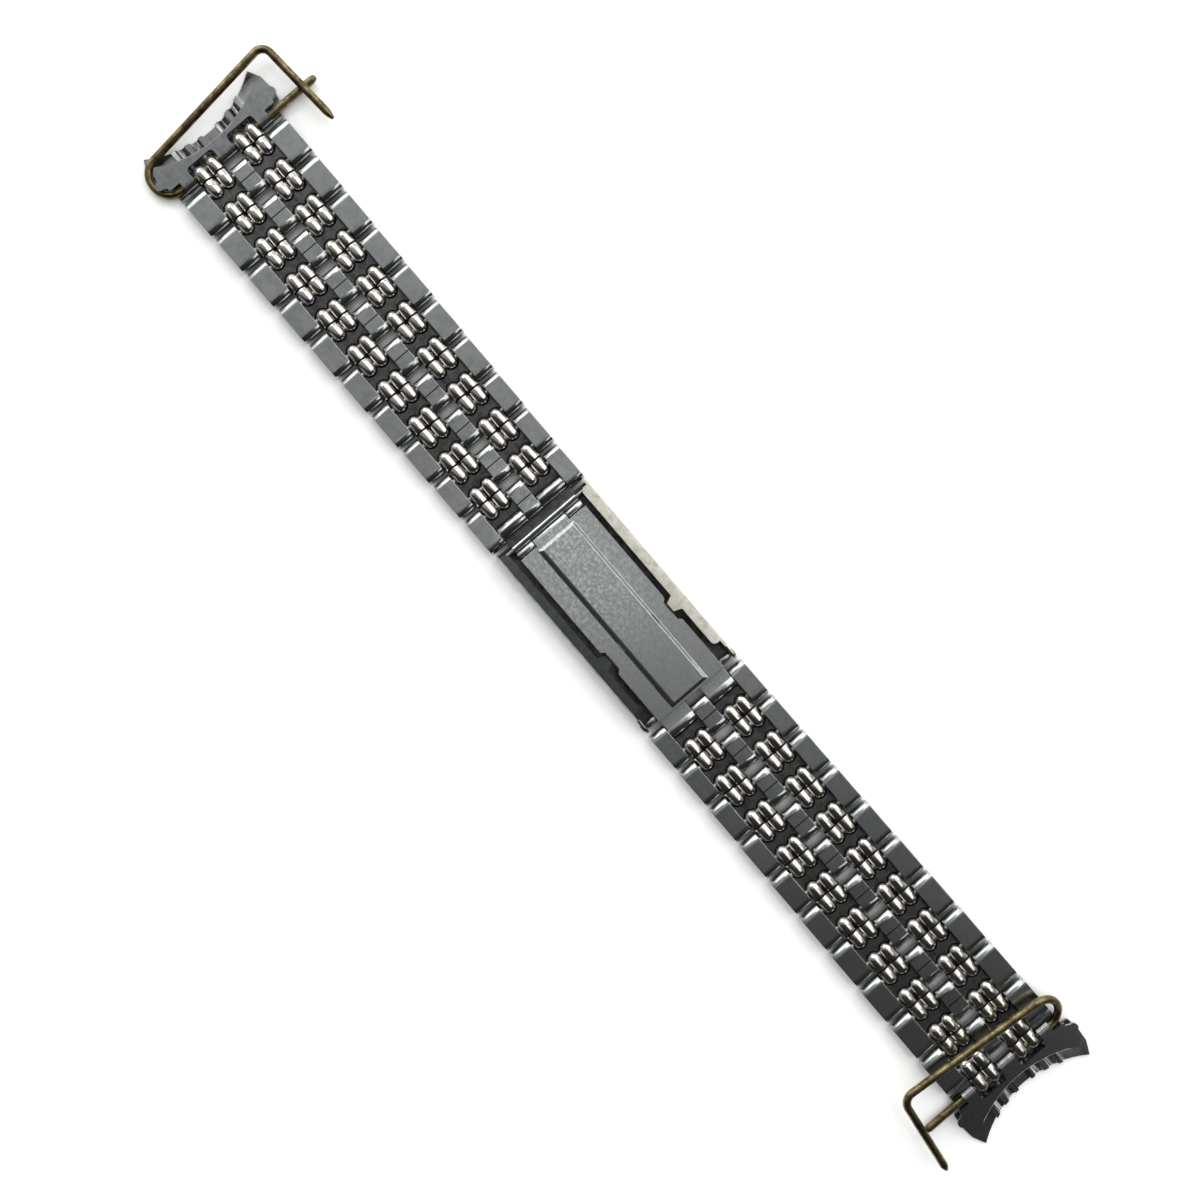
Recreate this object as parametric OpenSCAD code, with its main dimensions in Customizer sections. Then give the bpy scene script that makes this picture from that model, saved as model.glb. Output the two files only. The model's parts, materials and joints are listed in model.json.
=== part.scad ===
// Beads of rice watch bracelet with a folding clasp, laid out flat with its outer face down.
// X runs along the band from end piece A to end piece B, +Z points to the wrist.
// The origin is the middle of the clasp cover's outer face. Sizes are in millimetres.

/* [Band] */
// Rows of flat links in each half, with as many rows of beads
rows_per_side = 10; // [6:1:10]
// Distance between neighbouring cross pins
pin_pitch = 2.72; // [2.64:0.02:3.2]
// Thickness of the band
link_t = 1.8; // [1.7:0.05:1.9]
// How far the rolled end of an edge link reaches past the bead ends
edge_reach = 0.29; // [0.1:0.01:0.3]
// Width of an edge link beside the clasp
edge_w_clasp = 2.1; // [1.8:0.05:2.4]
// Width of an edge link beside an end piece
edge_w_end = 2.8; // [2.6:0.05:3]
// Width of a centre link
centre_w = 2.14; // [1.9:0.02:2.4]
// Gap between two columns of links
column_gap = 0.12; // [0.08:0.01:0.16]

/* [Beads] */
// How far a bead stays back from the band's two faces
bead_inset = 0.01; // [0:0.01:0.05]
// Gap between the two beads of a pair
bead_gap = 0.03; // [0.02:0.01:0.06]
// Width of the fold seam across a bead
bead_seam_w = 0.2; // [0.1:0.02:0.3]
// Width of the fold seam across a centre link
link_seam_w = 0.1; // [0.06:0.02:0.2]
// Depth of both fold seams
seam_depth = 0.24; // [0.1:0.02:0.3]

/* [Pins and bridges] */
// Diameter of a cross pin
pin_d = 0.8; // [0.6:0.05:0.9]
// How far a cross pin's ends stay inside the band's edges
pin_recess = 0.12; // [0.05:0.01:0.3]
// Radial clearance of a bead or lug that turns on a cross pin
pin_clearance = 0.05; // [0.02:0.01:0.08]
// Radial clearance of a cross pin seated in its flat links
pin_seat = 0.02; // [0.01:0.01:0.03]
// Thickness of the recessed plate that bridges two flat links
bridge_t = 0.5; // [0.3:0.05:0.6]
// Gap between a bridge plate and the bead ends beside it
bridge_gap = 0.09; // [0.07:0.01:0.15]
// How far a bridge plate's tongue enters the link beside it
tongue_l = 0.2; // [0.1:0.02:0.3]
// Clearance of the tongue in its pocket
tongue_gap = 0.02; // [0.01:0.01:0.04]

/* [Clasp cover] */
// Length of the cover
cover_l = 26.9; // [26.8:0.1:28]
// Width of the cover
cover_w = 13.7; // [13.4:0.1:15]
// Height of the cover's side walls
cover_h = 2.75; // [2.7:0.05:3.2]
// Sheet thickness of the cover
cover_t = 0.35; // [0.3:0.01:0.35]
// Radius of the cover's lower long edges
cover_round = 0.6; // [0.4:0.05:0.8]
// Width of the flanges folded over the blades
flange_w = 1.27; // [1:0.01:1.5]
// Radius of the flanges' corners
flange_corner = 0.6; // [0.3:0.05:0.9]
// Distance of the flanges from the adjuster end of the cover
flange_start = 0.5; // [0.3:0.1:1]
// Distance of the flanges from the hinge end of the cover
flange_stop = 2.85; // [2.6:0.05:3.2]
// Length of a catch tab on a flange
tab_l = 2; // [1.5:0.1:2.4]
// Distance of the catch from the middle of the cover towards side B
catch_x = 4; // [3:0.1:5]

/* [Hinges of the clasp] */
// Distance of the cover's hinge pin from the cover's end
cover_hinge_inset = 0.75; // [0.7:0.05:1]
// Diameter of the cover's hinge pin
cover_pin_d = 0.6; // [0.5:0.05:0.7]
// Distance of the hinge pin between the blades from the cover's other end
blade_hinge_inset = 1.65; // [1.65:0.05:2]
// Height of that pin over the cover's outer face
blade_hinge_z = 1.25; // [1.22:0.01:1.28]
// Diameter of that pin
blade_pin_d = 0.44; // [0.36:0.02:0.46]
// Wall of a rolled knuckle
knuckle_wall = 0.15; // [0.12:0.01:0.16]
// Radial clearance of the turning hinge knuckles
hinge_clearance = 0.05; // [0.03:0.01:0.06]

/* [Blades] */
// Width of the inner blade
blade_w = 9.8; // [9.7:0.1:10]
// Sheet thickness of the inner blade
blade_t = 0.35; // [0.3:0.01:0.35]
// Sheet thickness of the middle blade
middle_t = 0.3; // [0.2:0.01:0.35]
// Gap between the inner blade and the cover's hinge under it
blade_gap = 0.05; // [0.04:0.01:0.08]
// Distance of the inner blade's end from the cover's end
blade_end_inset = 0.15; // [0.05:0.05:0.25]
// Depth of the catch notches in the inner blade's edges
notch_d = 0.5; // [0.3:0.05:0.7]
// Width of the raised panel on the inner blade
panel_w = 4.7; // [4:0.1:5]
// Width of the bevel round the raised panel
panel_bevel = 0.4; // [0.3:0.05:0.5]
// Height of the raised panel over the blade
panel_h = 0.45; // [0.3:0.05:0.5]

/* [Adjuster] */
// Distance of the spring bar from the cover's end
spring_bar_inset = 0.7; // [0.65:0.01:0.7]
// Diameter of the spring bar
spring_bar_d = 0.7; // [0.6:0.02:0.7]
// Diameter of the spring bar's tips
spring_tip_d = 0.5; // [0.4:0.02:0.54]
// Distance between two adjusting holes
adjust_pitch = 2.2; // [1.8:0.1:2.6]
// Adjusting holes in each side wall
adjust_holes = 3; // [2:1:5]

/* [End pieces] */
// Width over the ears, which fits between a watch's lugs
lug_width = 18; // [17.8:0.1:18.6]
// Radius of the watch case that the front shell's curved edge meets
case_r = 13.7; // [13:0.1:18]
// Distance from the spring bar's axis to the middle of the front shell's curved edge
shell_reach = 3.4; // [3.2:0.1:3.8]
// Distance from the spring bar's axis to the middle of the back plate's curved edge
plate_reach = 1.8; // [1.7:0.05:2]
// Distance from the spring bar's axis to the end of the slots for the beads
slot_reach = 1.22; // [1.15:0.01:1.3]
// Sheet thickness of the front shell
shell_t = 0.3; // [0.25:0.01:0.32]
// Sheet thickness of the back plate
plate_t = 0.4; // [0.3:0.01:0.4]
// Half the length over the outer knuckles
knuckle_half = 6.44; // [6.2:0.02:6.6]
// Outer radius of the knuckles' lower halves, inside the front shell
knuckle_r = 0.72; // [0.7:0.01:0.74]

/* [Keeper wires] */
// Diameter of the bent keeper wires
wire_d = 0.95; // [0.8:0.05:0.96]
// Radial clearance of a keeper wire in the knuckles
wire_clearance = 0.05; // [0.03:0.01:0.06]
// Radius of the hairpin bend of wire A
wire_a_hairpin = 2.25; // [2.1:0.05:2.4]
// Radius of the square bend of wire A
wire_a_bend = 1.3; // [1.1:0.05:1.5]
// Length of the free leg of wire A
wire_a_leg = 11.8; // [9:0.1:12]
// Distance of wire A's free tip from the middle of the end piece
wire_a_tip = 13.5; // [13.2:0.1:15]
// Radius of the hairpin bend of wire B
wire_b_hairpin = 2.2; // [2.1:0.05:2.3]
// Radius of the square bend of wire B
wire_b_bend = 1.4; // [1.2:0.05:1.6]
// Length of the free leg of wire B
wire_b_leg = 10.1; // [8:0.1:11]
// Distance of wire B's free tip from the middle of the end piece
wire_b_tip = 12.4; // [12:0.1:14]
// Height of wire B over the band, which leaves the links under it room to turn
wire_b_lift = 1.1; // [1.05:0.05:1.4]

/* [Hidden] */
$fn = 48;

function number(i) = str(i < 10 ? "0" : "", i);

satin_steel = [0.62, 0.63, 0.64];
dark_steel = [0.42, 0.43, 0.44];
bright_steel = [0.78, 0.78, 0.76];
old_brass = [0.42, 0.36, 0.22];

// How far a cutting shape runs past the face that it cuts
past = 1;
// Overlap that joins two shapes of one piece
weld = 0.05;

// The pins lie in the middle of the band's thickness
pin_z = link_t / 2;
link_r = link_t / 2;
bead_r = link_r - bead_inset;
bead_from = centre_w / 2 + column_gap;
bead_to = bead_from + 4 * bead_r + bead_gap;
edge_from = bead_to + column_gap;
band_half_end = edge_from + edge_w_end;
pin_bore_r = pin_d / 2 + pin_clearance;
wire_bore_r = wire_d / 2 + wire_clearance;

// Clasp levels, from the cover's outer face up
cover_end = cover_l / 2;
cover_pin_x = cover_end - cover_hinge_inset;
cover_pin_z = pin_z;
blade_hinge_x = cover_end - blade_hinge_inset;
blade_end_x = cover_end - blade_end_inset;
cover_knuckle_r = cover_pin_d / 2 + hinge_clearance + knuckle_wall;
blade_knuckle_r = blade_pin_d / 2 + hinge_clearance + knuckle_wall + 0.03;
blade_bottom = cover_pin_z + cover_knuckle_r + blade_gap;
blade_top = blade_bottom + blade_t;
flange_bottom = cover_h - cover_t;
middle_half = blade_w / 2 - 0.4;
blade_knuckle_half = blade_w / 2 - 0.1;
tongue_half = 2.45;
finger_gap = 0.1;
spring_bar_x = -cover_end + spring_bar_inset;
adjuster_roll_r = spring_bar_d / 2 + hinge_clearance + 0.1;

// The first cross pin of each half, in the clasp's lugs
first_pin_x = cover_end + 1.6;
end_axis_x = first_pin_x + 2 * rows_per_side * pin_pitch;

// The gap left between two faces of one end piece that only touch
seat = 0.02;
plate_top = link_t;
plate_bottom = plate_top - plate_t;
ear_half = lug_width / 2;
plate_arc_r = case_r + shell_reach - plate_reach;
wire_r = wire_d / 2;
// A wire's bends end this far inside the collars of its straight runs
join = 0.03;

// Extrudes an outline drawn in X and Z along Y
module along_y(from, to) {
    translate([0, to, 0]) rotate([90, 0, 0]) linear_extrude(to - from) children();
}

// Extrudes an outline drawn in Y and Z along X
module along_x(from, to) {
    translate([from, 0, 0]) rotate([90, 0, 90]) linear_extrude(to - from) children();
}

// A round bar along Y, centred on the band's middle line unless moved
module cross_bar(x, z, r, half) {
    translate([x, half, z]) rotate([90, 0, 0]) cylinder(h = 2 * half, r = r);
}

// Turns a shape of side B, whose X points away from the clasp, to either side
module on_side(side, x) {
    mirror([side == "a" ? 1 : 0, 0, 0]) translate([x, 0, 0]) children();
}

function flat_row_x(i) = first_pin_x + (2 * i - 1.5) * pin_pitch;
function bead_row_x(i) = first_pin_x + (2 * i - 0.5) * pin_pitch;
function edge_w(i) = edge_w_clasp + (edge_w_end - edge_w_clasp) * (i - 1) / (rows_per_side - 1);
function bead_y(n) = bead_from + bead_r + n * (2 * bead_r + bead_gap);

// Outline of a folded link, with a rolled end past each pin
module link_outline(reach) {
    centre = pin_pitch / 2 + reach;
    for (x = [-centre, centre]) translate([x, pin_z]) circle(r = link_r);
    translate([-centre, 0]) square([2 * centre, link_t]);
}

module link_pin_holes() {
    for (x = [-1, 1]) translate([x * pin_pitch / 2, pin_z]) circle(r = pin_d / 2 + pin_seat);
}

// Plan of a bridge plate in the bead column at +Y: scalloped round the bead ends,
// but straight where it faces a lug of the clasp
module bridge_plan(beside_clasp) {
    horn = pin_pitch / 2 - sqrt(pow(bead_r + bridge_gap, 2) - pow(bead_r, 2));
    straight = pin_pitch / 2 - bead_r - bridge_gap;
    clasp_side = beside_clasp ? straight : horn;
    difference() {
        translate([-clasp_side, bead_from]) square([clasp_side + horn, bead_to - bead_from]);
        for (n = [0, 1]) for (x = [-1, 1])
            translate([x * pin_pitch / 2, bead_y(n)]) circle(r = bead_r + bridge_gap);
    }
}

// Plan of the bridge plate's two tongues, grown by a clearance for the pockets
module tongue_plan(beside_clasp, grown) {
    wide = pin_pitch / 2 - pin_d / 2 - 0.16;
    straight = pin_pitch / 2 - bead_r - bridge_gap;
    clasp_side = beside_clasp ? straight : wide;
    reach = column_gap + tongue_l;
    for (y = [bead_from - reach, bead_to - weld])
        translate([-clasp_side - grown, y - grown])
            square([clasp_side + wide + 2 * grown, reach + weld + 2 * grown]);
}

module bridge_plate(beside_clasp) {
    translate([0, 0, pin_z - bridge_t / 2]) linear_extrude(bridge_t) {
        bridge_plan(beside_clasp);
        tongue_plan(beside_clasp, 0);
    }
}

module bridge_pockets(beside_clasp) {
    for (s = [0, 1]) mirror([0, s, 0])
        translate([0, 0, pin_z - bridge_t / 2 - tongue_gap])
            linear_extrude(bridge_t + 2 * tongue_gap)
                tongue_plan(beside_clasp, tongue_gap);
}

module edge_link(i) {
    along_y(edge_from, edge_from + edge_w(i)) difference() {
        link_outline(edge_reach);
        link_pin_holes();
    }
}

module centre_link() {
    difference() {
        along_y(-centre_w / 2, centre_w / 2) difference() {
            link_outline(0);
            link_pin_holes();
        }
        translate([-link_seam_w / 2, -centre_w, link_t - seam_depth])
            cube([link_seam_w, 2 * centre_w, past]);
    }
}

// Two edge links, a centre link, two bridge plates and two cross pins
module flat_row(side, i) {
    beside_clasp = i == 1;
    half = edge_from + edge_w(i) - pin_recess;
    color(satin_steel) on_side(side, flat_row_x(i)) {
        difference() {
            union() {
                centre_link();
                for (s = [0, 1]) mirror([0, s, 0]) edge_link(i);
            }
            bridge_pockets(beside_clasp);
        }
        for (s = [0, 1]) mirror([0, s, 0]) bridge_plate(beside_clasp);
        for (x = [-1, 1]) cross_bar(x * pin_pitch / 2, pin_z, pin_d / 2, half);
    }
}

// A rice bead round its axis, lying along X
module bead_body() {
    rotate([0, 90, 0]) rotate_extrude() intersection() {
        union() {
            for (y = [-1, 1]) translate([0, y * pin_pitch / 2]) circle(r = bead_r);
            translate([-bead_r, -pin_pitch / 2]) square([2 * bead_r, pin_pitch]);
        }
        translate([0, -pin_pitch]) square([bead_r + past, 2 * pin_pitch]);
    }
}

module bead(outer_bore_r) {
    difference() {
        bead_body();
        cross_bar(-pin_pitch / 2, 0, pin_bore_r, bead_r + past);
        cross_bar(pin_pitch / 2, 0, outer_bore_r, bead_r + past);
        translate([-bead_seam_w / 2, -bead_r - past, bead_r - seam_depth])
            cube([bead_seam_w, 2 * (bead_r + past), past]);
    }
}

// Two pairs of beads. The last row turns on the end piece's own bar
module bead_row(side, i) {
    outer_bore_r = i == rows_per_side ? wire_bore_r : pin_bore_r;
    color(bright_steel) on_side(side, bead_row_x(i))
        for (s = [-1, 1]) for (n = [0, 1])
            translate([0, s * bead_y(n), pin_z]) bead(outer_bore_r);
}

// Section of the cover: floor, side walls and no flanges
module cover_section() {
    half = cover_w / 2;
    difference() {
        union() {
            translate([-half + cover_round, 0]) square([2 * (half - cover_round), cover_h]);
            translate([-half, cover_round]) square([2 * half, cover_h - cover_round]);
            for (y = [-1, 1]) translate([y * (half - cover_round), cover_round])
                circle(r = cover_round);
        }
        translate([-half + cover_t, cover_t]) square([2 * (half - cover_t), cover_h + past]);
    }
}

// Side view of the cover: full height, with a low round ear at the hinge
module cover_side() {
    ear_r = cover_hinge_inset;
    low = cover_pin_x - 1.2;
    translate([-cover_end, 0]) square([low + cover_end, cover_h]);
    translate([low - weld, 0]) square([cover_pin_x - low + weld, cover_pin_z + ear_r]);
    translate([cover_pin_x, cover_pin_z]) circle(r = ear_r);
    translate([cover_pin_x - weld, 0]) square([ear_r / 2, cover_pin_z]);
}

// Plan of the flange at +Y, with rounded inner corners and a catch tab
module flange_plan() {
    from = -cover_end + flange_start;
    to = cover_end - flange_stop;
    outer = cover_w / 2 - cover_t / 2;
    inner = cover_w / 2 - flange_w;
    translate([from, inner + flange_corner]) square([to - from, outer - inner - flange_corner]);
    translate([from + flange_corner, inner])
        square([to - from - 2 * flange_corner, outer - inner]);
    for (x = [from + flange_corner, to - flange_corner])
        translate([x, inner + flange_corner]) circle(r = flange_corner);
    polygon([
        [catch_x - tab_l / 2, inner + weld],
        [catch_x - tab_l / 2 + 0.4, blade_w / 2 - notch_d / 2],
        [catch_x + tab_l / 2 - 0.4, blade_w / 2 - notch_d / 2],
        [catch_x + tab_l / 2, inner + weld]
    ]);
}

module clasp_cover() {
    color(satin_steel) difference() {
        union() {
            intersection() {
                along_x(-cover_end, cover_end) cover_section();
                along_y(-cover_w, cover_w) cover_side();
            }
            for (s = [0, 1]) mirror([0, s, 0])
                translate([0, 0, flange_bottom]) linear_extrude(cover_t) flange_plan();
        }
        for (n = [0 : adjust_holes - 1])
            cross_bar(spring_bar_x + n * adjust_pitch, pin_z, spring_tip_d / 2 + 0.05, cover_w);
        cross_bar(cover_pin_x, cover_pin_z, cover_pin_d / 2 + pin_seat, cover_w);
        translate([cover_pin_x + 0.3, -cover_w / 2 + cover_t, -past])
            cube([cover_l, cover_w - 2 * cover_t, cover_h]);
    }
}

// The pin's ends are peened outside the walls, and two collars centre the blade
module cover_hinge_pin() {
    half = cover_w / 2 + 0.02;
    head_t = 0.12;
    collar = [middle_half + 0.35, cover_w / 2 - cover_t - 0.25];
    color(dark_steel) {
        cross_bar(cover_pin_x, cover_pin_z, cover_pin_d / 2, half + weld);
        for (s = [0, 1]) mirror([0, s, 0]) {
            translate([cover_pin_x, half + head_t, cover_pin_z])
                rotate([90, 0, 0]) cylinder(h = head_t, r = cover_pin_d / 2 + 0.15);
            translate([cover_pin_x, collar[1], cover_pin_z])
                rotate([90, 0, 0]) cylinder(h = collar[1] - collar[0], r = cover_pin_d / 2 + 0.12);
        }
    }
}

module adjuster_spring_bar() {
    inside = cover_w / 2 - cover_t;
    color(dark_steel) {
        cross_bar(spring_bar_x, pin_z, spring_bar_d / 2, inside - 0.3);
        cross_bar(spring_bar_x, pin_z, spring_tip_d / 2, cover_w / 2 - 0.03);
    }
}

// A lug for one bead column, rolled round the first cross pin
module lug_roll(x) {
    along_y(bead_from, bead_to) translate([x, pin_z]) circle(r = bead_r);
}

module adjuster_link() {
    plate = 0.4;
    clear_of_centre_link = -first_pin_x + link_r + 0.2;
    color(satin_steel) difference() {
        union() {
            for (s = [0, 1]) mirror([0, s, 0]) {
                lug_roll(-first_pin_x);
                translate([-first_pin_x, bead_from, pin_z - plate / 2])
                    cube([spring_bar_x + first_pin_x, bead_to - bead_from, plate]);
            }
            translate([clear_of_centre_link, -bead_to, pin_z - plate / 2])
                cube([spring_bar_x - clear_of_centre_link, 2 * bead_to, plate]);
            cross_bar(spring_bar_x, pin_z, adjuster_roll_r, bead_to);
        }
        cross_bar(-first_pin_x, pin_z, pin_bore_r, bead_to + past);
        cross_bar(spring_bar_x, pin_z, spring_bar_d / 2 + hinge_clearance, bead_to + past);
    }
}

// The blade's plate stops short of the inner blade's knuckle in the middle
module middle_blade() {
    clear_x = -blade_hinge_x + blade_knuckle_r + finger_gap;
    bottom = pin_z - middle_t / 2;
    color(satin_steel) difference() {
        union() {
            translate([clear_x, -middle_half, bottom])
                cube([cover_pin_x - clear_x, 2 * middle_half, middle_t]);
            for (s = [0, 1]) mirror([0, s, 0]) {
                translate([-blade_hinge_x, tongue_half + finger_gap, bottom])
                    cube([clear_x + blade_hinge_x + weld, middle_half - tongue_half - finger_gap, middle_t]);
                along_y(tongue_half + finger_gap, blade_knuckle_half)
                    translate([-blade_hinge_x, blade_hinge_z]) circle(r = blade_knuckle_r);
            }
            cross_bar(cover_pin_x, cover_pin_z, cover_knuckle_r, middle_half);
        }
        cross_bar(cover_pin_x, cover_pin_z, cover_pin_d / 2 + hinge_clearance, cover_w);
        cross_bar(-blade_hinge_x, blade_hinge_z, blade_pin_d / 2 + pin_seat, cover_w);
    }
}

module blade_hinge_pin() {
    color(dark_steel)
        cross_bar(-blade_hinge_x, blade_hinge_z, blade_pin_d / 2, blade_knuckle_half - 0.03);
}

// Plan of the inner blade's plate, with its catch notches and its hinge tongue
module blade_plan() {
    clear_x = -blade_hinge_x + blade_knuckle_r + finger_gap;
    edge = blade_w / 2;
    from = catch_x - tab_l / 2 - 0.25;
    to = catch_x + tab_l / 2 + 1;
    slant = 0.45;
    difference() {
        union() {
            translate([clear_x, -blade_w / 2]) square([blade_end_x - clear_x, blade_w]);
            translate([-blade_hinge_x, -tongue_half])
                square([clear_x + blade_hinge_x + weld, 2 * tongue_half]);
        }
        for (s = [0, 1]) mirror([0, s]) polygon([
            [from, edge + past], [from, edge], [from + slant, edge - notch_d],
            [to - slant, edge - notch_d], [to, edge], [to, edge + past]
        ]);
    }
}

// A raised panel with bevelled sides and ends
module panel(base_half, top_half, from, to, bottom, top) {
    bevel = base_half - top_half;
    intersection() {
        along_x(from, to) polygon([
            [-base_half, bottom], [base_half, bottom], [top_half, top], [-top_half, top]
        ]);
        along_y(-base_half, base_half) polygon([
            [from, bottom], [to, bottom], [to - bevel, top], [from + bevel, top]
        ]);
    }
}

module inner_blade() {
    tongue_z = cover_pin_z + cover_knuckle_r * 0.8 + blade_gap;
    tongue_from = cover_pin_x + 0.3;
    base_half = panel_w / 2 + panel_bevel;
    panel_from = -blade_hinge_x + 0.95;
    panel_to = blade_end_x - 0.25;
    color(satin_steel) difference() {
        union() {
            translate([0, 0, blade_bottom]) linear_extrude(blade_t) blade_plan();
            panel(base_half, panel_w / 2, panel_from, panel_to, blade_top - weld, blade_top + panel_h);
            cross_bar(-blade_hinge_x, blade_hinge_z, blade_knuckle_r, tongue_half);
            for (s = [0, 1]) mirror([0, s, 0]) {
                lug_roll(first_pin_x);
                translate([tongue_from, bead_from, tongue_z])
                    cube([first_pin_x - tongue_from, bead_to - bead_from, blade_t]);
            }
        }
        panel(base_half - blade_t, panel_w / 2 - blade_t, panel_from + blade_t, panel_to - blade_t,
            blade_bottom - past, blade_top + panel_h - blade_t);
        cross_bar(first_pin_x, pin_z, pin_bore_r, cover_w);
        cross_bar(-blade_hinge_x, blade_hinge_z, blade_pin_d / 2 + hinge_clearance, cover_w);
    }
}

// Plan of the ear at +Y: a small hook, the main lobe and a shoulder
module ear_plan() {
    inboard = wire_r + 0.05;
    hook_r = 0.22;
    lobe_r = 0.55;
    shoulder_r = 0.5;
    translate([inboard + hook_r, ear_half - 1.28]) circle(r = hook_r);
    translate([1.72, ear_half - lobe_r]) circle(r = lobe_r);
    translate([2.9, ear_half - 0.75 - shoulder_r]) circle(r = shoulder_r);
    polygon([
        [inboard, knuckle_half - 1], [inboard, ear_half - 1.28], [0.9, ear_half - 1.1],
        [1.2, ear_half - 0.6], [2.2, ear_half - 0.66], [2.9, ear_half - 0.78],
        [3.25, ear_half - 0.9], [3.8, ear_half - 1.4], [4.4, ear_half - 2.4],
        [4.4, knuckle_half - 1]
    ]);
}

// A slot for a pair of beads, with rounded outer corners
module slot_plan() {
    corner_r = 0.45;
    from = bead_from - column_gap;
    width = bead_to - bead_from + 2 * column_gap;
    translate([-past, from]) square([slot_reach + past - corner_r, width]);
    translate([-past, from + corner_r]) square([slot_reach + past, width - 2 * corner_r]);
    for (y = [from + corner_r, from + width - corner_r])
        translate([slot_reach - corner_r, y]) circle(r = corner_r);
}

module back_plate_plan() {
    difference() {
        union() {
            translate([0, -knuckle_half]) square([4.4, 2 * knuckle_half]);
            for (s = [0, 1]) mirror([0, s]) ear_plan();
        }
        translate([plate_reach + plate_arc_r, 0]) circle(r = plate_arc_r, $fn = 96);
        for (s = [0, 1]) mirror([0, s]) slot_plan();
    }
}

// Section of a knuckle: rolled to the band's surface above the bar, nested in the shell below
module knuckle_section() {
    circle(r = knuckle_r);
    intersection() {
        circle(r = link_r);
        translate([-link_t, 0]) square([2 * link_t, link_t]);
    }
}

module end_back_plate(side) {
    color(satin_steel) on_side(side, end_axis_x) difference() {
        union() {
            translate([0, 0, plate_bottom]) linear_extrude(plate_t) back_plate_plan();
            along_y(-centre_w / 2, centre_w / 2) translate([0, pin_z]) knuckle_section();
            for (s = [0, 1]) mirror([0, s, 0])
                along_y(edge_from, knuckle_half) translate([0, pin_z]) knuckle_section();
        }
        cross_bar(0, pin_z, wire_bore_r, lug_width);
    }
}

// Plan of the front shell: flared ears and the curved edge that meets the watch case
module shell_plan() {
    difference() {
        polygon([
            [-2, -band_half_end], [0.3, -band_half_end],
            [1.1, -ear_half + 0.35], [2.4, -ear_half + 0.1], [4.4, -ear_half + 0.3], [6.4, -ear_half + 1.3],
            [6.4, ear_half - 1.3], [4.4, ear_half - 0.3], [2.4, ear_half - 0.1], [1.1, ear_half - 0.35],
            [0.3, band_half_end], [-2, band_half_end]
        ]);
        translate([shell_reach + case_r, 0]) circle(r = case_r, $fn = 96);
    }
}

// Section of the shell past the slots: flat columns, and hollow half-round beads between them
module shell_section() {
    web = 0.12;
    translate([-centre_w / 2, 0]) square([centre_w, shell_t]);
    for (s = [-1, 1]) {
        translate([s > 0 ? edge_from : -ear_half, 0]) square([ear_half - edge_from, shell_t]);
        for (n = [0, 1]) intersection() {
            translate([s * bead_y(n), pin_z]) difference() {
                circle(r = bead_r);
                circle(r = bead_r - shell_t);
            }
            translate([-lug_width, 0]) square([2 * lug_width, pin_z]);
        }
        for (y = [(bead_from + bead_to) / 2, bead_from - column_gap / 2, bead_to + column_gap / 2])
            translate([s * y - web - column_gap / 2, shell_t * 0.7])
                square([2 * web + column_gap, pin_z - shell_t * 0.7]);
    }
}

// Side view of a flat column's rolled end, which nests round the knuckle
module shell_end(reach) {
    intersection() {
        difference() {
            union() {
                translate([-reach, pin_z]) circle(r = link_r);
                translate([-reach, 0]) square([slot_reach + reach, link_t]);
            }
            union() {
                translate([-reach, pin_z]) circle(r = link_r - shell_t);
                translate([-reach, shell_t]) square([slot_reach + reach + past, link_t]);
            }
        }
        translate([-2 * link_t, 0]) square([4 * link_t, pin_z - seat]);
    }
}

// Posts between the columns carry the back plate
module shell_posts() {
    for (s = [-1, 1]) for (y = [bead_from - column_gap / 2, bead_to + column_gap / 2])
        translate([slot_reach + 0.03, s * y - 0.15, shell_t / 2])
            cube([plate_reach - slot_reach - 0.06, 0.3, plate_bottom - seat - shell_t / 2]);
}

module end_front_shell(side) {
    color(dark_steel) on_side(side, end_axis_x) difference() {
        union() {
            intersection() {
                along_x(slot_reach - 0.2, 7) shell_section();
                linear_extrude(link_t) shell_plan();
            }
            along_y(-centre_w / 2, centre_w / 2) shell_end(0);
            for (s = [0, 1]) mirror([0, s, 0])
                along_y(edge_from, band_half_end) shell_end(edge_reach);
            shell_posts();
        }
        cross_bar(0, pin_z, knuckle_r + seat, lug_width);
    }
}

function unit(v) = v / norm(v);
function turn(p, i) = acos(unit(p[i] - p[i - 1]) * unit(p[i + 1] - p[i]));
function lead(p, bends, i) =
    i == 0 || i == len(p) - 1 ? 0 : bends[i - 1] * tan(turn(p, i) / 2);

// A straight run of wire. An end with no taper gets a low collar round the joint with a bend
module wire_run(from, to, from_taper, to_taper) {
    v = to - from;
    run = norm(v);
    r = wire_r;
    proud = wire_r + 0.01;
    half = 0.1;
    from_end = from_taper > 0
        ? [[0, 0], [r * 0.5, 0], [r, from_taper]]
        : [[0, -half], [proud, -half], [proud, half], [r, half]];
    to_end = to_taper > 0
        ? [[r, run - to_taper], [r * 0.4, run], [0, run]]
        : [[r, run - half], [proud, run - half], [proud, run + half], [0, run + half]];
    translate(from)
        rotate([0, acos(v.z / run), atan2(v.y, v.x)])
            rotate_extrude() polygon(concat(from_end, to_end));
}

// The bend at one corner of a wire, tangent to the straight runs on both sides
module wire_bend(p, i, bend_r) {
    way = unit(p[i] - p[i - 1]);
    out = unit(p[i + 1] - p[i]);
    side = unit(out - (out * way) * way);
    centre = p[i] - bend_r * tan(turn(p, i) / 2) * way + bend_r * side;
    up = cross(way, side);
    short = atan2(join, bend_r);
    multmatrix([
        [-side.x, way.x, up.x, centre.x],
        [-side.y, way.y, up.y, centre.y],
        [-side.z, way.z, up.z, centre.z],
        [0, 0, 0, 1]
    ]) rotate([0, 0, short]) rotate_extrude(angle = turn(p, i) - 2 * short)
        translate([bend_r, 0]) circle(r = wire_r);
}

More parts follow.
